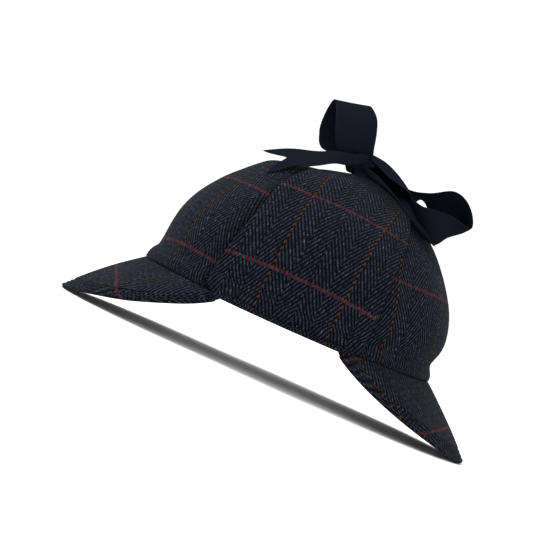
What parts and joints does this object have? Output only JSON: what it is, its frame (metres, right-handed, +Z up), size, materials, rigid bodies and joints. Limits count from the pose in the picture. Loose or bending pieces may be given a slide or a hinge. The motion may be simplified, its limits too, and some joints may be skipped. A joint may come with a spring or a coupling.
{
  "type": "deerstalker hat",
  "caption": "Tweed deerstalker hat with front and back peaks and ear flaps tied up over the crown with a ribbon bow.",
  "frame": {"origin": "on the surface that the hat stands on, midway between the tips of its two peaks", "axes": "+Z up, +Y towards the back peak, +X towards the wearer's left ear"},
  "size_m": [0.1838, 0.2946, 0.1943],
  "materials": {
    "tweed": "navy herringbone wool with a red and tan windowpane check",
    "ribbon": "navy grosgrain ribbon"
  },
  "bodies": {
    "root": {"crown_panel_front_left": "tweed", "crown_panel_side_left": "tweed", "crown_panel_back_left": "tweed", "crown_panel_back_right": "tweed", "crown_panel_side_right": "tweed", "crown_panel_front_right": "tweed", "front_peak": "tweed", "back_peak": "tweed", "ear_flap_left": "tweed", "ear_flap_right": "tweed", "ribbon_tie_left": "ribbon", "ribbon_tie_right": "ribbon", "bow_knot": "ribbon", "bow_loop_front": "ribbon", "bow_loop_back": "ribbon", "ribbon_tail_front": "ribbon", "ribbon_tail_back": "ribbon"}
  },
  "joints": []
}
